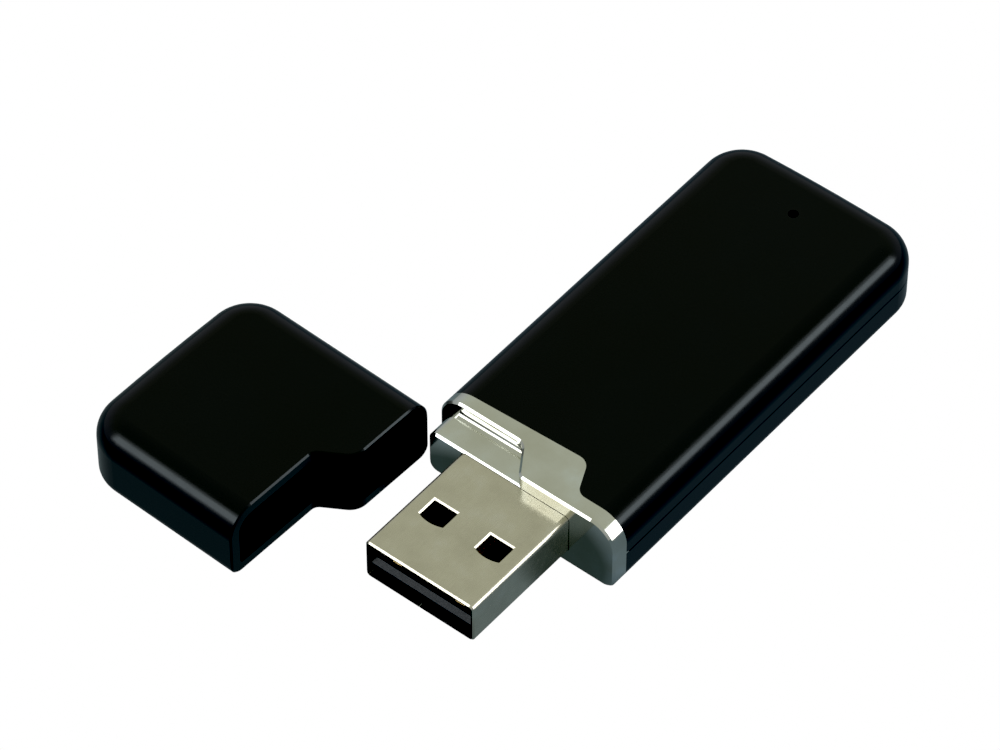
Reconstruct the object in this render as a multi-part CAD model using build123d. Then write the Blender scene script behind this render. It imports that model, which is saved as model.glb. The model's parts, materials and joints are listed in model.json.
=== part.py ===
"""USB flash drive with a pull-off cap: an assembly of separate closed pieces, in millimetres.

Every piece is drawn with x across the drive, y running back from the front face of the chrome
trim and z up from the surface that the drive lies on. The export moves the whole drive so that
the origin is under the middle of the housing.
"""

from build123d import *
import os

os.makedirs("parts", exist_ok=True)

# Housing
housing_width = 22.0
housing_height = 7.5
housing_length = 45.5
end_bow = 0.3
end_corner_radius = 4.3
top_edge_radius = 2.7
bottom_edge_radius = 1.2
wall = 1.2
seam_height = 3.5
seam_groove_depth = 0.16
seam_groove_half_width = 0.06
lip_inset = 0.65
lip_height = 0.6
lip_root = 0.4
fit_gap = 0.05
led_hole_y = 39.7
led_hole_radius = 0.45
post_half_width = 0.55
clamp_post_x = 7.2
clamp_post_y = (27.0, 35.0)
rest_post_x = 6.5
rest_post_y = (12.0, 26.0, 39.0)
post_root = 0.4

# Chrome trim: the S-shaped line where it starts and the one where it ends
shoulder_y = 3.2
shoulder_step_x = (-1.7, 0.4)
shoulder_radii = (1.2, 0.9)
trim_rear_left_y = 4.5
trim_rear_mid_y = 5.15
trim_rear_right_y = 1.7
trim_rear_step_x = (4.0, 5.6)
trim_rear_radii = (1.4, 1.2)
trim_bevel = 0.2
trim_front_wall = 1.6
spigot_wall = 0.8
spigot_end_y = 7.4
spigot_root = 1.0
pocket_root = 0.6
neck_inset = 1.3
neck_right_x = 4.0
neck_corner_radius = 1.0
neck_root_fillet = 0.6
neck_root_overlap = 0.2
nib_length = 0.4
nib_height = 0.5
nib_root = 0.4
nib_depth = 0.5

# USB type A plug
plug_width = 12.0
plug_height = 4.5
plug_sheet = 0.3
plug_corner_radius = 0.5
plug_reach = 12.95
plug_tail = 5.6
plug_centre_z = 3.75
plug_front_chamfer = 0.15
plug_seam_half_width = 0.04
tab_root = 0.5
tab_reach = 3.0
tab_height = 1.3
window_width = 2.5
window_length = 2.0
window_centre_x = 3.1
window_front = 5.4
window_bow = 0.25
window_chamfer = 0.14
window_flare_angle = -45.0
tongue_width = 11.1
tongue_thickness = 1.84
tongue_setback = 0.3
tongue_chamfer = 0.45
cavity_depth = 9.0
contact_width = 1.0
contact_thickness = 0.2
contact_proud = 0.08
outer_contact_x = 3.5
inner_contact_x = 1.0
outer_contact_setback = 1.1
inner_contact_setback = 2.1
contact_ramp = 0.3
contact_bend = 0.35
contact_tail = 2.4
base_overlap = 0.5
base_tail = 0.2

# Circuit board and what it carries
board_width = 16.0
board_length = 36.0
board_thickness = 0.8
board_front = 6.2
board_bottom = 2.5
board_top = board_bottom + board_thickness
board_corner_radius = 0.8
solder_half_width = 0.72
solder_start = 0.9
solder_overlap = 0.4
solder_height = 0.42
solder_chamfer = 0.18
tab_solder_half_width = 0.7
tab_solder_y = (1.2, 3.4)
tab_solder_height = 0.8
tab_solder_chamfer = 0.35
chip_lift = 0.1
chip_edge_chamfer = 0.12
chip_mark_radius = 0.35
chip_mark_depth = 0.05
chip_mark_inset = 1.1
controller_y = 14.2
controller_size = 7.0
controller_height = 1.4
controller_leads_a_side = 12
flash_y = 29.4
flash_width = 12.0
flash_length = 18.4
flash_height = 1.0
flash_leads_an_end = 24
lead_pitch = 0.5
lead_width = 0.22
knee_share = 0.3
controller_lead = {"body_middle": 0.85, "foot_reach": 0.95, "thickness": 0.13}
flash_lead = {"body_middle": 0.6, "foot_reach": 0.75, "thickness": 0.12}
crystal_place = (6.3, 11.6)
crystal_width = 2.5
crystal_length = 3.2
crystal_body_height = 0.75
crystal_lid_inset = 0.2
crystal_lid_height = 0.15
crystal_corner_radius = 0.2
terminal_length = 0.3
terminal_gap = 0.005
terminal_proud = 0.02
capacitor_size = (1.6, 0.8, 0.8)
capacitor_places = [
    (-6.4, 11.2, 90),
    (-6.4, 13.6, 90),
    (-6.4, 16.0, 90),
    (-6.4, 18.4, 90),
    (6.3, 14.9, 0),
    (6.3, 17.6, 0),
]
resistor_size = (1.6, 0.8, 0.45)
resistor_places = [(2.8, 40.9, 0), (-2.8, 40.9, 0), (7.0, 21.0, 90), (7.0, 23.4, 90)]
led_size = (1.6, 0.8, 0.55)
led_places = [(0.0, led_hole_y, 0)]

# Cap, lying turned beside the plug
cap_length = 18.6
cap_wall = 1.1
cap_end_wall = 1.3
cap_end_bow = 0.2
cap_mouth_gap = 0.1
cap_mouth_bevel = 0.15
cap_mouth_radii = (1.9, 0.9)
cap_rib_thickness = 0.8
cap_rib_clearance = 0.2
cap_rib_setback = 4.0
cap_rib_root = 0.3
cap_middle_rib_x = (2.6, 3.4)
cap_turn = -91.9
cap_place = (-15.0, -8.64)

reach = 80.0
tiny = 0.02
least_radius = 0.3
plug_bottom = plug_centre_z - plug_height / 2
plug_top = plug_centre_z + plug_height / 2


def block(x0, x1, y0, y1, z0, z1):
    return Pos((x0 + x1) / 2, (y0 + y1) / 2, (z0 + z1) / 2) * Box(x1 - x0, y1 - y0, z1 - z0)


def edges_at(shape, axis, value, tolerance=1e-3):
    """Edges whose every point lies at one value of an axis."""
    index = {"X": 0, "Y": 1, "Z": 2}[axis]
    found = []
    for edge in shape.edges():
        points = [tuple(edge.position_at(t))[index] for t in (0.0, 0.5, 1.0)]
        if all(abs(p - value) < tolerance for p in points):
            found.append(edge)
    return found


def rounded_end_form(length, bow, inset, front=-12.0):
    """Solid with the drive's outer section, shrunk by inset, its rounded end at y = length."""
    half = housing_width / 2 - inset
    end = length - inset
    sides = Polyline((-half, end - bow), (-half, front), (half, front), (half, end - bow))
    end_arc = ThreePointArc((half, end - bow), (0, end), (-half, end - bow))
    outline = make_face(sides + end_arc)
    corners = outline.vertices().group_by(Axis.Y)[-1]
    outline = fillet(corners, end_corner_radius - inset)
    low = inset
    high = housing_height - inset
    form = Pos(0, 0, low) * extrude(outline, high - low)
    form = fillet(edges_at(form, "Z", high), max(top_edge_radius - inset, least_radius))
    return fillet(edges_at(form, "Z", low), max(bottom_edge_radius - inset, least_radius))


def behind(left_y, step_x, mid_y, right_y, radii, shift=0.0):
    """Everything behind an S-shaped line across the drive, as one tall block."""
    far = housing_width
    points = [
        (-far, left_y + shift),
        (step_x[0], mid_y + shift),
        (step_x[1], right_y + shift),
        (far, right_y + shift),
        (far, reach),
        (-far, reach),
    ]
    outline = make_face(Polyline(*points, close=True))
    for (x, y), radius in zip(points[1:3], radii):
        corner = outline.vertices().sort_by_distance((x, y, 0))[0]
        outline = fillet(corner, radius)
    return Pos(0, 0, -5) * extrude(outline, housing_height + 10)


def behind_shoulder(radii, shift=0.0):
    return behind(shoulder_y, shoulder_step_x, shoulder_y, 0.0, radii, shift)


def behind_trim(shift=0.0):
    slope_run = housing_width + trim_rear_step_x[0]
    slope = (trim_rear_mid_y - trim_rear_left_y) / (housing_width / 2 + trim_rear_step_x[0])
    left_y = trim_rear_mid_y - slope * slope_run
    return behind(
        left_y, trim_rear_step_x, trim_rear_mid_y, trim_rear_right_y, trim_rear_radii, shift
    )


def outer_loop(shape, is_wall):
    """The edges that bound the faces picked by is_wall, once those they share are left out."""
    walls = [face for face in shape.faces() if is_wall(face)]
    edges = [edge for face in walls for edge in face.edges()]
    keys = [tuple(round(v, 4) for v in tuple(edge.position_at(0.5))) for edge in edges]
    return [edge for edge, key in zip(edges, keys) if keys.count(key) == 1]


def above(z):
    return block(-reach, reach, -reach, reach, z, z + reach)


def below(z):
    return block(-reach, reach, -reach, reach, z - reach, z)


housing_outer = rounded_end_form(housing_length, end_bow, 0.0)
housing_cavity = rounded_end_form(housing_length, end_bow, wall)
covers_outer = housing_outer & behind_trim(tiny)


def lip_ring(inset, z0, z1):
    """Half the wall's thickness, running round inside the seam."""
    ring = rounded_end_form(housing_length, end_bow, inset) - housing_cavity
    ring = ring & block(-reach, reach, spigot_end_y + fit_gap, reach, z0, z1)
    return ring


def seam_groove():
    band = housing_outer - rounded_end_form(housing_length, end_bow, seam_groove_depth)
    low = seam_height - seam_groove_half_width
    high = seam_height + seam_groove_half_width
    return band & block(-reach, reach, -reach, reach, low, high)


def post(x, y, z0, z1):
    half = post_half_width
    return block(x - half, x + half, y - half, y + half, z0, z1)


def top_cover():
    cover = (covers_outer - housing_cavity) & above(seam_height)
    cover -= lip_ring(lip_inset - fit_gap, seam_height, seam_height + lip_height + fit_gap)
    cover -= seam_groove()
    cover -= Pos(0, led_hole_y, housing_height) * Cylinder(led_hole_radius, 6)
    cover -= seam_nib()
    high = housing_height - wall + post_root
    for y in clamp_post_y:
        for side in (-1, 1):
            cover += post(side * clamp_post_x, y, board_top + fit_gap, high)
    return cover


def bottom_cover():
    cover = (covers_outer - housing_cavity) & below(seam_height - tiny)
    cover += lip_ring(lip_inset, seam_height - lip_root, seam_height + lip_height)
    cover -= seam_groove()
    for y in rest_post_y:
        for side in (-1, 1):
            cover += post(side * rest_post_x, y, wall - post_root, board_bottom - tiny)
    return cover


def neck():
    """The low front part of the trim that the cap slides over."""
    left = neck_inset - housing_width / 2
    low = neck_inset
    high = housing_height - neck_inset
    form = block(left, neck_right_x, 0.0, trim_rear_left_y - trim_bevel, low, high)
    long_edges = [e for e in form.edges().filter_by(Axis.Y) if e.position_at(0.5).X < 0]
    form = fillet(long_edges, neck_corner_radius)
    return chamfer(edges_at(form, "Y", 0.0), trim_bevel)


def neck_root():
    """Concave fillet where the neck's top and underside meet the shoulder."""
    size = neck_root_fillet
    over = neck_root_overlap
    left = neck_inset - housing_width / 2 + neck_corner_radius
    right = shoulder_step_x[0] + over
    high = housing_height - neck_inset
    corner = block(left, right, shoulder_y - size, shoulder_y + over, high - over, high + size)
    round_bar = Pos((left + right) / 2, shoulder_y - size, high + size)
    corner -= round_bar * Rot(0, 90, 0) * Cylinder(size, 2 * (right - left))
    flipped = mirror(corner, Plane.XY.offset(housing_height / 2))
    return corner + flipped


def seam_nib():
    """Small point of the trim that runs back into the seam on the right side."""
    side = housing_width / 2
    y = trim_rear_right_y
    z = seam_height
    outline = make_face(
        Polyline((y - nib_root, z + nib_height), (y + nib_length, z), (y - nib_root, z - tiny), close=True)
    )
    nib = extrude(Plane.YZ.offset(side - nib_depth) * outline, nib_depth + tiny)
    return nib & housing_outer


def plug_slot(clearance):
    half = plug_width / 2 + clearance
    slot = block(-half, half, -1.0, reach, plug_bottom - clearance, plug_top + clearance)
    return fillet(slot.edges().filter_by(Axis.Y), plug_corner_radius + clearance)


def chrome_trim():
    ring = (housing_outer & behind_shoulder(shoulder_radii)) - behind_trim()
    ring = chamfer(outer_loop(ring, lambda face: face.normal_at().Y < -0.3), trim_bevel)
    trim = ring + neck() + neck_root() + seam_nib()
    spigot = rounded_end_form(housing_length, end_bow, wall + fit_gap)
    spigot &= block(-reach, reach, trim_rear_left_y - spigot_root, spigot_end_y, 0, housing_height)
    pocket = rounded_end_form(housing_length, end_bow, wall + fit_gap + spigot_wall)
    pocket &= block(-reach, reach, trim_rear_left_y - pocket_root, reach, 0, housing_height)
    trim += spigot - pocket
    trim -= pocket
    side = housing_width / 2 - neck_inset - neck_corner_radius
    trim -= block(-side, side, trim_front_wall, reach, plug_bottom, plug_top)
    return trim - plug_slot(fit_gap)


def window_outline():
    """A rectangle whose front edge is slightly bowed."""
    front = window_front - plug_reach
    half = window_width / 2
    back = front + window_length
    outline = Polyline((-half, front), (-half, back), (half, back), (half, front))
    front_arc = ThreePointArc((half, front), (0, front - window_bow), (-half, front))
    return make_face(outline + front_arc)


def plug_window(side, z):
    """A window through one broad face of the plug."""
    return Pos(side * window_centre_x, 0, z) * extrude(window_outline(), 2 * plug_sheet, both=True)


def window_flare(side):
    """The rolled-back rim round a window in the plug's top face."""
    low = plug_top - window_chamfer
    flare = extrude(window_outline(), window_chamfer + tiny, taper=window_flare_angle)
    return Pos(side * window_centre_x, 0, low) * flare


def plug_box(inset, y0, y1):
    half = plug_width / 2 - inset
    low = plug_bottom + inset
    form = block(-half, half, y0, y1, low, plug_top - inset)
    return fillet(form.edges().filter_by(Axis.Y), plug_corner_radius - min(inset, plug_sheet - fit_gap))


def plug_shell():
    outer = plug_box(0.0, -plug_reach, plug_tail)
    outer = chamfer(edges_at(outer, "Y", -plug_reach), plug_front_chamfer)
    shell = outer - plug_box(plug_sheet, -reach, reach)
    for side in (-1, 1):
        shell -= plug_window(side, plug_top)
        shell -= plug_window(side, plug_bottom)
    for side in (-1, 1):
        shell -= window_flare(side)
    seam = plug_seam_half_width
    shell -= block(-seam, seam, -reach, reach, plug_bottom - 1, plug_bottom + plug_sheet + tiny)
    tab_y = (plug_tail - tab_root, plug_tail + tab_reach)
    for side in (-1, 1):
        x0, x1 = sorted((side * plug_width / 2, side * (plug_width / 2 - plug_sheet)))
        shell += block(x0, x1, *tab_y, board_top + tiny, board_top + tab_height)
    return shell


def contact(x, setback):
    """Flat strip on the tongue, through the base, bent down and back onto the board."""
    top = plug_bottom + plug_sheet + tongue_thickness + contact_proud
    low = top - contact_thickness
    front = setback - plug_reach
    bend = plug_tail + contact_bend
    foot = board_top + tiny
    end = board_front + contact_tail
    outline = make_face(
        Polyline(
            (front, low),
            (front + contact_ramp, top),
            (bend + contact_thickness, top),
            (bend + contact_thickness, foot + contact_thickness),
            (end, foot + contact_thickness),
            (end, foot),
            (bend, foot),
            (bend, low),
            close=True,
        )
    )
    return extrude(Plane.YZ.offset(x) * outline, contact_width / 2, both=True)


contacts = {
    "contact_vbus": contact(outer_contact_x, outer_contact_setback),
    "contact_data_minus": contact(inner_contact_x, inner_contact_setback),
    "contact_data_plus": contact(-inner_contact_x, inner_contact_setback),
    "contact_ground": contact(-outer_contact_x, outer_contact_setback),
}


def plug_insulator():
    floor = plug_bottom + plug_sheet + tiny
    top = plug_bottom + plug_sheet + tongue_thickness
    half = tongue_width / 2
    front = tongue_setback - plug_reach
    tongue = block(-half, half, front, cavity_depth - plug_reach + base_overlap, floor, top)
    front_top = [e for e in edges_at(tongue, "Y", front) if e.position_at(0.5).Z > top - tiny]
    tongue = chamfer(front_top, tongue_chamfer)
    base = plug_box(plug_sheet + tiny, cavity_depth - plug_reach, plug_tail + base_tail)
    body = tongue + base
    for strip in contacts.values():
        body -= strip
    return body


def circuit_board():
    board = block(
        -board_width / 2,
        board_width / 2,
        board_front,
        board_front + board_length,
        board_bottom,
        board_top,
    )
    return fillet(board.edges().filter_by(Axis.Z), board_corner_radius)


def plug_solder():
    joints = []
    high = board_top + solder_height
    start = board_front + solder_start
    end = board_front + contact_tail + solder_overlap
    half = solder_half_width
    for x in (-outer_contact_x, -inner_contact_x, inner_contact_x, outer_contact_x):
        joint = block(x - half, x + half, start, end, board_top, high)
        joint = chamfer(edges_at(joint, "Z", high), solder_chamfer)
        for strip in contacts.values():
            joint -= strip
        joints.append(joint)
    high = board_top + tab_solder_height
    start, end = (plug_tail + y for y in tab_solder_y)
    half = tab_solder_half_width
    for side in (-1, 1):
        x = side * (plug_width - plug_sheet) / 2
        joint = block(x - half, x + half, start, end, board_top, high)
        joint = chamfer(edges_at(joint, "Z", high), tab_solder_chamfer)
        joints.append(joint - shell_piece)
    return Compound([solid for joint in joints for solid in joint.solids()])


def gull_wing(body_edge, body_middle, foot_reach, thickness):
    """One lead, drawn pointing to +Y from the chip body's edge, its foot on the board."""
    low = board_top + tiny
    mid = board_top + body_middle
    knee = body_edge + knee_share * foot_reach
    end = body_edge + foot_reach
    outline = make_face(
        Polyline(
            (body_edge + tiny, mid),
            (knee + thickness, mid),
            (knee + thickness, low + thickness),
            (end, low + thickness),
            (end, low),
            (knee, low),
            (knee, mid - thickness),
            (body_edge + tiny, mid - thickness),
            close=True,
        )
    )
    return extrude(Plane.YZ * outline, lead_width / 2, both=True)


def row_of(lead, count):
    """Copies of a lead side by side, lead_pitch apart."""
    first = -(count - 1) / 2 * lead_pitch
    return [Pos(first + i * lead_pitch, 0, 0) * lead for i in range(count)]


def chip_body(y, width, length, height):
    low = board_top + chip_lift
    high = low + height
    body = block(-width / 2, width / 2, y - length / 2, y + length / 2, low, high)
    body = chamfer(edges_at(body, "Z", high), chip_edge_chamfer)
    mark_x = chip_mark_inset - width / 2
    mark_y = y + chip_mark_inset - length / 2
    return body - Pos(mark_x, mark_y, high) * Cylinder(chip_mark_radius, 2 * chip_mark_depth)


def controller_leads():
    lead = gull_wing(controller_size / 2, **controller_lead)
    leads = []
    for turn in (0, 90, 180, 270):
        place = Pos(0, controller_y, 0) * Rot(0, 0, turn)
        leads.extend(place * one for one in row_of(lead, controller_leads_a_side))
    return Compound(leads)


def flash_leads():
    lead = gull_wing(flash_length / 2, **flash_lead)
    leads = []
    for turn in (0, 180):
        place = Pos(0, flash_y, 0) * Rot(0, 0, turn)
        leads.extend(place * one for one in row_of(lead, flash_leads_an_end))
    return Compound(leads)


def crystal():
    x, y = crystal_place
    half_x = crystal_width / 2
    half_y = crystal_length / 2
    inset = crystal_lid_inset
    lid_low = board_top + crystal_body_height
    body = block(x - half_x, x + half_x, y - half_y, y + half_y, board_top + tiny, lid_low)
    body = fillet(body.edges().filter_by(Axis.Z), crystal_corner_radius)
    half_x -= inset
    half_y -= inset
    lid_high = lid_low + crystal_lid_height
    return body + block(x - half_x, x + half_x, y - half_y, y + half_y, lid_low, lid_high)


def small_part(place, size):
    """A surface-mount part: its body between two end terminals, turned as place says."""
    x, y, turn = place
    length, width, height = size
    low = board_top + tiny
    half = length / 2
    inner = half - terminal_length
    side = width / 2
    proud = terminal_proud
    body = block(-inner, inner, -side, side, low + proud, low + height - proud)
    first = block(-half, -inner - terminal_gap, -side, side, low, low + height)
    second = block(inner + terminal_gap, half, -side, side, low, low + height)
    where = Pos(x, y, 0) * Rot(0, 0, turn)
    return where * body, [where * first, where * second]


def small_parts(places, size):
    bodies = []
    ends = []
    for place in places:
        body, pair = small_part(place, size)
        bodies.append(body)
        ends.extend(pair)
    return Compound(bodies), Compound(ends)


def cap_form(inset, length):
    return Rot(0, 0, 180) * rounded_end_form(length, cap_end_bow, inset)


def cap_shell():
    outer = cap_form(0.0, cap_length) - behind_shoulder(cap_mouth_radii, -cap_mouth_gap)
    outer = chamfer(outer_loop(outer, lambda face: face.normal_at().Y > 0.3), cap_mouth_bevel)
    cavity = cap_form(cap_wall, cap_length - cap_end_wall + cap_wall)
    shell = outer - cavity
    end = cap_end_wall - cap_length - cap_rib_root
    front = -cap_rib_setback
    floor = cap_wall - cap_rib_root
    roof = housing_height - floor
    rib_x = plug_width / 2 + cap_rib_clearance
    for side in (-1, 1):
        x0, x1 = sorted((side * rib_x, side * (rib_x + cap_rib_thickness)))
        shell += block(x0, x1, end, front, floor, roof)
        x0, x1 = sorted(side * x for x in cap_middle_rib_x)
        shell += block(x0, x1, end, front, floor, plug_bottom - cap_rib_clearance)
        shell += block(x0, x1, end, front, plug_top + cap_rib_clearance, roof)
    return Pos(cap_place[0], cap_place[1], 0) * Rot(0, 0, cap_turn) * shell


shell_piece = plug_shell()
capacitors, capacitor_terminals = small_parts(capacitor_places, capacitor_size)
resistors, resistor_terminals = small_parts(resistor_places, resistor_size)
led, led_terminals = small_parts(led_places, led_size)

pieces = {
    "top_cover": top_cover(),
    "bottom_cover": bottom_cover(),
    "chrome_trim": chrome_trim(),
    "plug_shell": shell_piece,
    "plug_insulator": plug_insulator(),
    **contacts,
    "circuit_board": circuit_board(),
    "plug_solder": plug_solder(),
    "controller_chip": chip_body(controller_y, controller_size, controller_size, controller_height),
    "controller_leads": controller_leads(),
    "flash_chip": chip_body(flash_y, flash_width, flash_length, flash_height),
    "flash_leads": flash_leads(),
    "crystal": crystal(),
    "led": led,
    "led_terminals": led_terminals,
    "capacitors": capacitors,
    "capacitor_terminals": capacitor_terminals,
    "resistors": resistors,
    "resistor_terminals": resistor_terminals,
    "cap_shell": cap_shell(),
}

for name, piece in pieces.items():
    export_step(Pos(0, -housing_length / 2, 0) * piece, f"parts/{name}.step")
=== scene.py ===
"""Looks of the USB flash drive: materials on the CAD pieces, studio light and camera."""

import json
import math

import bpy
from mathutils import Matrix, Vector


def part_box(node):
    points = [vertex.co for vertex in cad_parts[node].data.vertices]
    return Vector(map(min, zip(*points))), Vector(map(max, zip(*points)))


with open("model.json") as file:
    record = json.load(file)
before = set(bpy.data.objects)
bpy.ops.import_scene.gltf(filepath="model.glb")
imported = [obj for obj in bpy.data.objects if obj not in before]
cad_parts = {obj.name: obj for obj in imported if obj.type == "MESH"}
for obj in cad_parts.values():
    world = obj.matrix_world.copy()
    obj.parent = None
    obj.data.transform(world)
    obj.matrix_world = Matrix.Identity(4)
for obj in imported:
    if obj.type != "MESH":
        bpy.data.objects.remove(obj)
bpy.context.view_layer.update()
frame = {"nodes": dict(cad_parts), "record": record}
nodes = frame["nodes"]

# ---------------------------------------------------------------- places, in metres
MM = 0.001
collar_low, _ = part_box("chrome_trim")
plug_low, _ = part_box("plug_shell")
front_face = Vector((0.0, collar_low.y, 0.0))


# ---------------------------------------------------------------- material helpers
def blank_material(name):
    mat = bpy.data.materials.new(name)
    mat.use_nodes = True
    tree = mat.node_tree
    tree.nodes.clear()
    return mat, tree, tree.nodes.new("ShaderNodeOutputMaterial")


def new_material(name):
    mat, tree, out = blank_material(name)
    shader = tree.nodes.new("ShaderNodeBsdfPrincipled")
    tree.links.new(shader.outputs["BSDF"], out.inputs["Surface"])
    return mat, tree, shader


def node(tree, kind, **values):
    made = tree.nodes.new(kind)
    for key, value in values.items():
        if hasattr(made, key):
            setattr(made, key, value)
        else:
            made.inputs[key].default_value = value
    return made


def place(tree, scale=(1.0, 1.0, 1.0), turn=(0.0, 0.0, 0.0)):
    """Object position in millimetres, so that a noise Scale of 1 has features about 1 mm wide."""
    coord = tree.nodes.new("ShaderNodeTexCoord")
    mapping = node(tree, "ShaderNodeMapping")
    mapping.inputs["Scale"].default_value = tuple(s / MM for s in scale)
    mapping.inputs["Rotation"].default_value = turn
    tree.links.new(coord.outputs["Object"], mapping.inputs["Vector"])
    return mapping.outputs["Vector"]


def noise(tree, vector, scale, detail=4.0, rough=0.55):
    made = node(tree, "ShaderNodeTexNoise")
    made.inputs["Scale"].default_value = scale
    made.inputs["Detail"].default_value = detail
    made.inputs["Roughness"].default_value = rough
    tree.links.new(vector, made.inputs["Vector"])
    return made.outputs["Fac"]


def ramp(tree, value, stops):
    made = tree.nodes.new("ShaderNodeValToRGB")
    points = made.color_ramp.elements
    points[0].position, points[0].color = stops[0][0], (*stops[0][1], 1.0)
    points[1].position, points[1].color = stops[-1][0], (*stops[-1][1], 1.0)
    for position, colour in stops[1:-1]:
        extra = points.new(position)
        extra.color = (*colour, 1.0)
    tree.links.new(value, made.inputs["Fac"])
    return made.outputs["Color"]


def span(tree, value, low, high, from_low=0.0, from_high=1.0):
    made = node(tree, "ShaderNodeMapRange")
    made.inputs["From Min"].default_value = from_low
    made.inputs["From Max"].default_value = from_high
    made.inputs["To Min"].default_value = low
    made.inputs["To Max"].default_value = high
    tree.links.new(value, made.inputs["Value"])
    return made.outputs["Result"]


def math_node(tree, operation, a, b):
    made = node(tree, "ShaderNodeMath", operation=operation)
    for socket, value in zip(made.inputs, (a, b)):
        if isinstance(value, (int, float)):
            socket.default_value = value
        else:
            tree.links.new(value, socket)
    return made.outputs["Value"]


def mix_colours(tree, factor, first, second):
    mixed = node(tree, "ShaderNodeMix", data_type="RGBA")
    tree.links.new(factor, mixed.inputs["Factor"])
    tree.links.new(first, mixed.inputs["A"])
    mixed.inputs["B"].default_value = (*second, 1.0)
    return mixed.outputs["Result"]


def bump(tree, shader, height, strength, distance):
    made = node(tree, "ShaderNodeBump")
    made.inputs["Strength"].default_value = strength
    made.inputs["Distance"].default_value = distance
    tree.links.new(height, made.inputs["Height"])
    tree.links.new(made.outputs["Normal"], shader.inputs["Normal"])


def scratches(tree, turn, scale=(0.25, 9.0, 2.0), width=0.016):
    """Sparse hairlines: the thin band where a stretched noise crosses one level."""
    level = 0.62
    wave = noise(tree, place(tree, scale, turn), 1.0, 2.0, 0.4)
    off = math_node(tree, "ABSOLUTE", math_node(tree, "SUBTRACT", wave, level), 0.0)
    line = span(tree, off, 1.0, 0.0, 0.0, width)
    patches = span(tree, noise(tree, place(tree), 0.35, 2.0), 0.0, 1.0, 0.5, 0.62)
    return math_node(tree, "MULTIPLY", line, patches)


def edge_wear(tree, radius):
    """1 near edges, 0 on open faces, from how far a rounded normal leans from the true one."""
    bevel = node(tree, "ShaderNodeBevel", samples=4)
    bevel.inputs["Radius"].default_value = radius
    geometry = tree.nodes.new("ShaderNodeNewGeometry")
    dot = node(tree, "ShaderNodeVectorMath", operation="DOT_PRODUCT")
    tree.links.new(bevel.outputs["Normal"], dot.inputs[0])
    tree.links.new(geometry.outputs["Normal"], dot.inputs[1])
    return span(tree, dot.outputs["Value"], 1.0, 0.0, 0.75, 0.995)


# ---------------------------------------------------------------- materials
def gloss_black():
    """Polished black ABS: nearly black, with faint flow marks and handling hairlines."""
    mat, tree, shader = new_material("gloss_black_abs")
    broad = noise(tree, place(tree), 0.09, 3.0)
    colour = ramp(tree, broad, [(0.3, (0.0000, 0.0005, 0.0026)), (0.7, (0.0002, 0.0010, 0.0036))])
    tree.links.new(colour, shader.inputs["Base Color"])
    haze = span(tree, noise(tree, place(tree), 0.6, 5.0), 0.13, 0.18, 0.3, 0.7)
    lines = math_node(
        tree, "ADD", scratches(tree, (0.0, 0.0, 0.5)), scratches(tree, (0.0, 0.0, -0.9))
    )
    rough = math_node(tree, "ADD", haze, math_node(tree, "MULTIPLY", lines, 0.10))
    tree.links.new(rough, shader.inputs["Roughness"])
    shader.inputs["IOR"].default_value = 1.5
    shader.inputs["Specular IOR Level"].default_value = 0.35
    ripple = noise(tree, place(tree), 0.5, 2.0, 0.4)
    bump(tree, shader, ripple, 0.12, 0.02 * MM)
    return mat


def chrome_plate():
    """Bright plating over moulded plastic, with a slightly cloudy bloom and fine wipe marks."""
    mat, tree, shader = new_material("chrome_plate")
    shader.inputs["Metallic"].default_value = 1.0
    cloud = noise(tree, place(tree), 0.28, 4.0, 0.5)
    tints = [(0.3, (0.68, 0.68, 0.60)), (0.55, (0.74, 0.75, 0.69)), (0.75, (0.80, 0.85, 0.84))]
    colour = ramp(tree, cloud, tints)
    tree.links.new(colour, shader.inputs["Base Color"])
    haze = span(tree, cloud, 0.05, 0.13, 0.35, 0.75)
    lines = scratches(tree, (0.0, 0.0, 0.3), (0.3, 14.0, 3.0), 0.02)
    rough = math_node(tree, "ADD", haze, math_node(tree, "MULTIPLY", lines, 0.1))
    tree.links.new(rough, shader.inputs["Roughness"])
    ripple = noise(tree, place(tree), 0.7, 3.0, 0.45)
    bump(tree, shader, ripple, 0.08, 0.02 * MM)
    return mat


def painted_steel_shade(tree):
    """Painted shade mask: 1 on the sheet's cut edges that face forwards and on the inside of the
    lower sheet, where shade is painted into the colour.
    """
    coord = tree.nodes.new("ShaderNodeTexCoord")
    facing = tree.nodes.new("ShaderNodeSeparateXYZ")
    tree.links.new(coord.outputs["Normal"], facing.inputs["Vector"])
    where = tree.nodes.new("ShaderNodeSeparateXYZ")
    tree.links.new(coord.outputs["Object"], where.inputs["Vector"])
    cut_edge = span(tree, facing.outputs["Y"], 1.0, 0.0, -0.95, -0.80)
    upwards = span(tree, facing.outputs["Z"], 0.0, 1.0, 0.80, 0.95)
    low = span(tree, where.outputs["Z"], 1.0, 0.0, 2.0 * MM, 2.2 * MM)
    return math_node(tree, "MAXIMUM", cut_edge, math_node(tree, "MULTIPLY", upwards, low))


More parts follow.
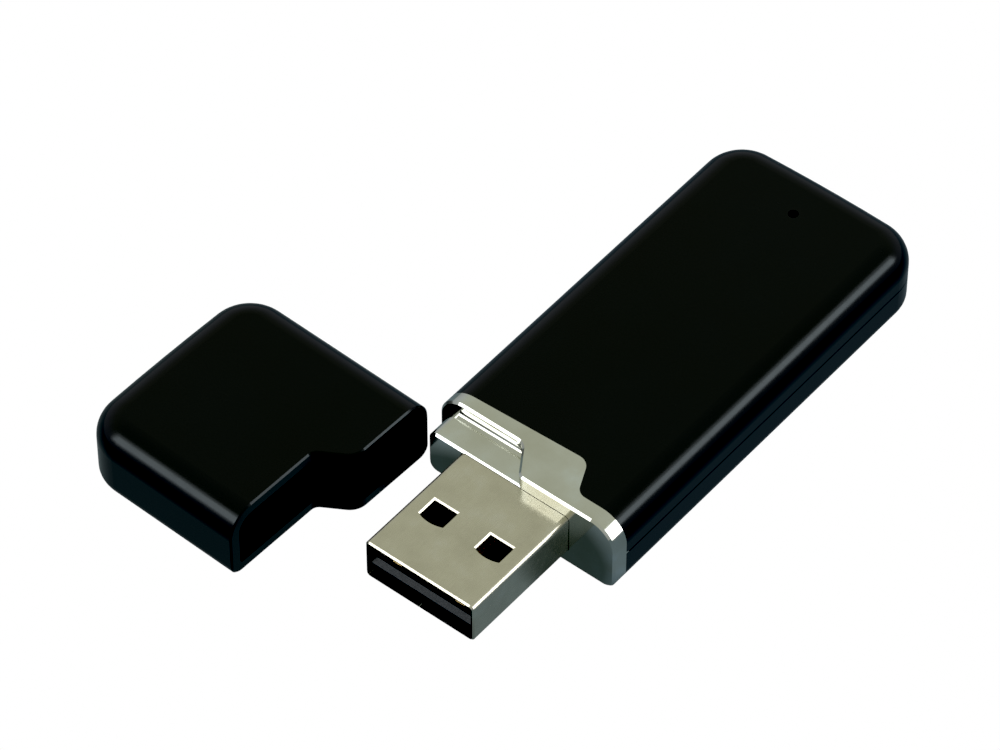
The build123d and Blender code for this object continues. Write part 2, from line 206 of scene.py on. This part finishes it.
def nickel_steel():
    """Nickel-plated rolled sheet: khaki grey, satin, grain along the plug, small rub marks, and
    painted shade on the forward cut edges and inside the lower sheet.
    """
    mat, tree, shader = new_material("nickel_plated_steel")
    shader.inputs["Metallic"].default_value = 1.0
    blotch = noise(tree, place(tree), 0.35, 5.0, 0.6)
    tints = [(0.3, (0.70, 0.66, 0.54)), (0.55, (0.77, 0.73, 0.60)), (0.8, (0.83, 0.80, 0.70))]
    colour = ramp(tree, blotch, tints)
    grain = noise(tree, place(tree, (12.0, 0.5, 12.0)), 1.0, 3.0, 0.6)
    mixed = node(tree, "ShaderNodeMix", data_type="RGBA", blend_type="MULTIPLY")
    mixed.inputs["Factor"].default_value = 0.25
    tree.links.new(colour, mixed.inputs["A"])
    grain_shades = [(0.3, (0.75, 0.75, 0.75)), (0.7, (1.0, 1.0, 1.0))]
    tree.links.new(ramp(tree, grain, grain_shades), mixed.inputs["B"])
    # painted shade: a near-black colour laid on the forward cut edges and inside the lower sheet,
    # standing in for shade there
    painted_shade_colour = (0.05, 0.06, 0.065)
    shaded_steel_colour = mix_colours(tree, painted_steel_shade(tree), mixed.outputs["Result"], painted_shade_colour)
    tree.links.new(shaded_steel_colour, shader.inputs["Base Color"])
    rub = span(tree, noise(tree, place(tree), 1.3, 5.0, 0.65), 0.22, 0.32, 0.3, 0.7)
    wear = edge_wear(tree, 0.15 * MM)
    rough = math_node(tree, "SUBTRACT", rub, math_node(tree, "MULTIPLY", wear, 0.12))
    tree.links.new(rough, shader.inputs["Roughness"])
    bump(tree, shader, math_node(tree, "ADD", grain, blotch), 0.18, 0.01 * MM)
    return mat


def moulded(name, dark, light, rough, grain_scale, bump_strength, ior_level=0.5):
    """Matt moulded surface with a fine grain."""
    mat, tree, shader = new_material(name)
    broad = noise(tree, place(tree), 0.5, 4.0)
    tree.links.new(ramp(tree, broad, [(0.3, dark), (0.7, light)]), shader.inputs["Base Color"])
    fine = noise(tree, place(tree), grain_scale, 4.0, 0.6)
    tree.links.new(span(tree, fine, rough[0], rough[1], 0.3, 0.7), shader.inputs["Roughness"])
    shader.inputs["Specular IOR Level"].default_value = ior_level
    bump(tree, shader, fine, bump_strength, 0.02 * MM)
    return mat


def metal(name, dark, light, rough, scale=1.0, bump_strength=0.15):
    mat, tree, shader = new_material(name)
    shader.inputs["Metallic"].default_value = 1.0
    broad = noise(tree, place(tree), 0.8 * scale, 4.0)
    tree.links.new(ramp(tree, broad, [(0.3, dark), (0.7, light)]), shader.inputs["Base Color"])
    fine = noise(tree, place(tree), 4.0 * scale, 4.0, 0.6)
    tree.links.new(span(tree, fine, rough[0], rough[1], 0.3, 0.7), shader.inputs["Roughness"])
    bump(tree, shader, fine, bump_strength, 0.01 * MM)
    return mat


materials = {
    "gloss_black": gloss_black(),
    "chrome_plate": chrome_plate(),
    "nickel_steel": nickel_steel(),
    "black_insulator": moulded(
        "black_insulator",
        (0.003, 0.008, 0.013),
        (0.006, 0.013, 0.020),
        rough=(0.22, 0.34),
        grain_scale=6.0,
        bump_strength=0.2,
        ior_level=0.28,
    ),
    "contact_gold": metal("contact_gold", (0.75, 0.52, 0.2), (0.9, 0.68, 0.32), (0.12, 0.25)),
    "board_green": moulded(
        "solder_mask_green", (0.006, 0.06, 0.02), (0.012, 0.10, 0.035), (0.18, 0.35), 3.0, 0.25
    ),
    "solder": metal("solder_tin", (0.5, 0.5, 0.5), (0.72, 0.72, 0.72), (0.15, 0.4), 2.0, 0.5),
    "chip_epoxy": moulded(
        "chip_epoxy", (0.010, 0.010, 0.011), (0.020, 0.020, 0.021), (0.45, 0.65), 12.0, 0.4
    ),
    "tinned_leads": metal(
        "tinned_leads", (0.55, 0.55, 0.54), (0.75, 0.75, 0.74), (0.18, 0.35), 3.0
    ),
    "can_metal": metal("crystal_can", (0.55, 0.54, 0.5), (0.72, 0.71, 0.68), (0.2, 0.35), 2.0),
    "led_resin": moulded(
        "led_resin", (0.5, 0.55, 0.45), (0.7, 0.74, 0.62), (0.1, 0.25), 5.0, 0.1
    ),
    "ceramic_tan": moulded(
        "ceramic_tan", (0.25, 0.15, 0.07), (0.36, 0.24, 0.12), (0.3, 0.5), 8.0, 0.2
    ),
    "resistor_black": moulded(
        "resistor_glaze", (0.008, 0.008, 0.009), (0.02, 0.02, 0.022), (0.1, 0.25), 6.0, 0.1
    ),
}
for entry in frame["record"]["subparts"]:
    mesh = nodes[entry["node"]].data
    mesh.materials.clear()
    mesh.materials.append(materials[entry["material_slot"]])

# ---------------------------------------------------------------- cap's edges, slightly broken
broken = nodes["cap_shell"].modifiers.new("broken_edges", "BEVEL")
broken.width = 0.05 * MM
broken.segments = 1
broken.limit_method = "ANGLE"
broken.angle_limit = math.radians(60.0)
broken.harden_normals = True

# ---------------------------------------------------------------- camera at the viewing angle
view_azimuth = math.radians(39.14)
view_elevation = math.radians(48.24)
view_distance = 0.49088
view_aside = (1.268 * MM, -13.497 * MM)
sensor = 36.0
lens_in_frame_widths = 5.6345

back = Vector((
    math.sin(view_azimuth) * math.cos(view_elevation),
    -math.cos(view_azimuth) * math.cos(view_elevation),
    math.sin(view_elevation),
))
right = Vector((math.cos(view_azimuth), math.sin(view_azimuth), 0.0))
up = back.cross(right)
camera = bpy.data.objects.new("camera", bpy.data.cameras.new("camera"))
camera.data.sensor_width = sensor
camera.data.lens = lens_in_frame_widths * sensor
camera.data.clip_start = 0.01
eye = front_face + back * view_distance - right * view_aside[0] - up * view_aside[1]
turn = Matrix((right, up, back)).transposed().to_4x4()
camera.matrix_world = Matrix.Translation(eye) @ turn
bpy.context.scene.collection.objects.link(camera)
bpy.context.scene.camera = camera


# ---------------------------------------------------------------- studio
gloss_parts = bpy.data.collections.new("gloss_parts")
metal_parts = bpy.data.collections.new("metal_parts")
for entry in frame["record"]["subparts"]:
    is_gloss = entry["material_slot"] == "gloss_black"
    (gloss_parts if is_gloss else metal_parts).objects.link(nodes[entry["node"]])


def softbox(name, azimuth, elevation, distance, size, radiance, colour, lit_parts):
    """Rectangular light turned to the housing's middle, seen from there at these angles."""
    light = bpy.data.lights.new(name, "AREA")
    light.shape = "RECTANGLE"
    light.size, light.size_y = size
    light.energy = radiance * math.pi * size[0] * size[1]
    light.color = colour
    lamp = bpy.data.objects.new(name, light)
    a, e = math.radians(azimuth), math.radians(elevation)
    towards = Vector((math.sin(a) * math.cos(e), -math.cos(a) * math.cos(e), math.sin(e)))
    lamp.location = towards * distance
    lamp.rotation_euler = towards.to_track_quat("Z", "Y").to_euler()
    lamp.light_linking.receiver_collection = lit_parts
    bpy.context.scene.collection.objects.link(lamp)


near, far = 0.9, 0.95
cool = (0.86, 1.0, 1.06)
neutral = (0.98, 1.0, 1.04)
softbox("key_on_gloss", -33.5, 31.0, near, (0.30, 0.30), 2.0, cool, gloss_parts)
softbox("key_halo_on_gloss", -34.0, 31.5, far, (0.44, 0.52), 1.0, cool, gloss_parts)
softbox("rim_on_gloss", 127.5, 32.0, near, (0.30, 0.24), 2.4, cool, gloss_parts)
softbox("rim_halo_on_gloss", 129.5, 33.5, far, (0.44, 0.42), 1.0, cool, gloss_parts)
softbox("key_on_metal", -36.0, 33.5, near, (0.36, 0.45), 2.8, neutral, metal_parts)
softbox("rim_on_metal", 126.0, 24.0, near, (0.36, 0.66), 3.0, neutral, metal_parts)

world = bpy.data.worlds.new("studio")
world.use_nodes = True
bpy.context.scene.world = world
wt = world.node_tree
background = wt.nodes["Background"]
sky = wt.nodes.new("ShaderNodeTexCoord")
split = wt.nodes.new("ShaderNodeSeparateXYZ")
wt.links.new(sky.outputs["Generated"], split.inputs["Vector"])
sky_stops = [
    (0.0, (0.34, 0.36, 0.37)),
    (0.3, (0.42, 0.44, 0.44)),
    (0.65, (0.44, 0.46, 0.38)),
    (1.0, (0.46, 0.48, 0.42)),
]
wt.links.new(ramp(wt, split.outputs["Z"], sky_stops), background.inputs["Color"])
background.inputs["Strength"].default_value = 1.0

floor_mesh = bpy.data.meshes.new("floor")
half = 3.0
just_below = -0.02 * MM
floor_mesh.from_pydata(
    [(-half, -half, 0), (half, -half, 0), (half, half, 0), (-half, half, 0)], [], [(0, 1, 2, 3)]
)
floor = bpy.data.objects.new("floor", floor_mesh)
floor.location.z = just_below
bpy.context.scene.collection.objects.link(floor)


def oval(tree, centre, radii):
    """1 inside an oval on the floor, falling to 0 at its edge."""
    inside = node(tree, "ShaderNodeMapping", vector_type="TEXTURE")
    inside.inputs["Location"].default_value = centre
    inside.inputs["Scale"].default_value = radii
    coord = tree.nodes.new("ShaderNodeTexCoord")
    tree.links.new(coord.outputs["Object"], inside.inputs["Vector"])
    middle = node(tree, "ShaderNodeTexGradient", gradient_type="SPHERICAL")
    tree.links.new(inside.outputs["Vector"], middle.inputs["Vector"])
    return span(tree, middle.outputs["Fac"], 0.0, 1.0, 0.0, 0.25)


def pale_floor():
    """White to the camera; in reflections a painted dim blue-grey that falls off across the
    floor, with painted shadows darkest by collar and plug tip.
    """
    # painted reflection shade: dim blue-grey that falls off across the floor
    open_shades = [(0.0, (0.16, 0.20, 0.205)), (1.0, (0.135, 0.178, 0.20))]
    collar_painted_shadow = (0.038, 0.054, 0.053)
    plug_tip_painted_shadow = (0.012, 0.018, 0.020)
    mat, tree, out = blank_material("pale_floor")
    rays = tree.nodes.new("ShaderNodeLightPath")
    choose = tree.nodes.new("ShaderNodeMixShader")
    seen = node(tree, "ShaderNodeEmission", Strength=1.0)
    seen.inputs["Color"].default_value = (1.0, 1.0, 1.0, 1.0)
    mirrored = node(tree, "ShaderNodeEmission", Strength=1.0)
    coord = tree.nodes.new("ShaderNodeTexCoord")
    split = tree.nodes.new("ShaderNodeSeparateXYZ")
    tree.links.new(coord.outputs["Object"], split.inputs["Vector"])
    across = math_node(tree, "ADD", split.outputs["X"], split.outputs["Y"])
    shade = span(tree, across, 0.0, 1.0, -0.060, -0.020)
    open_floor = ramp(tree, shade, open_shades)
    # painted shadows on the floor, seen only in reflections: dark ovals by the collar and under
    # the plug tip
    collar_shadow_mask = oval(tree, (-1.5 * MM, collar_low.y, 0.0), (14.5 * MM, 5.6 * MM, 1.0))
    plug_tip_shadow_mask = oval(tree, (-1.6 * MM, plug_low.y - 2.05 * MM, 0.0), (10.0 * MM, 3.2 * MM, 1.0))
    shaded = mix_colours(tree, collar_shadow_mask, open_floor, collar_painted_shadow)
    darkest = mix_colours(tree, plug_tip_shadow_mask, shaded, plug_tip_painted_shadow)
    tree.links.new(darkest, mirrored.inputs["Color"])
    tree.links.new(rays.outputs["Is Camera Ray"], choose.inputs["Fac"])
    tree.links.new(mirrored.outputs["Emission"], choose.inputs[1])
    tree.links.new(seen.outputs["Emission"], choose.inputs[2])
    tree.links.new(choose.outputs["Shader"], out.inputs["Surface"])
    return mat


floor_mesh.materials.append(pale_floor())

# ---------------------------------------------------------------- view
black_level = 0.013
view = bpy.context.scene.view_settings
view.view_transform = "Standard"
view.look = "None"
view.use_curve_mapping = True
view.curve_mapping.black_level = (black_level,) * 3
view.curve_mapping.update()
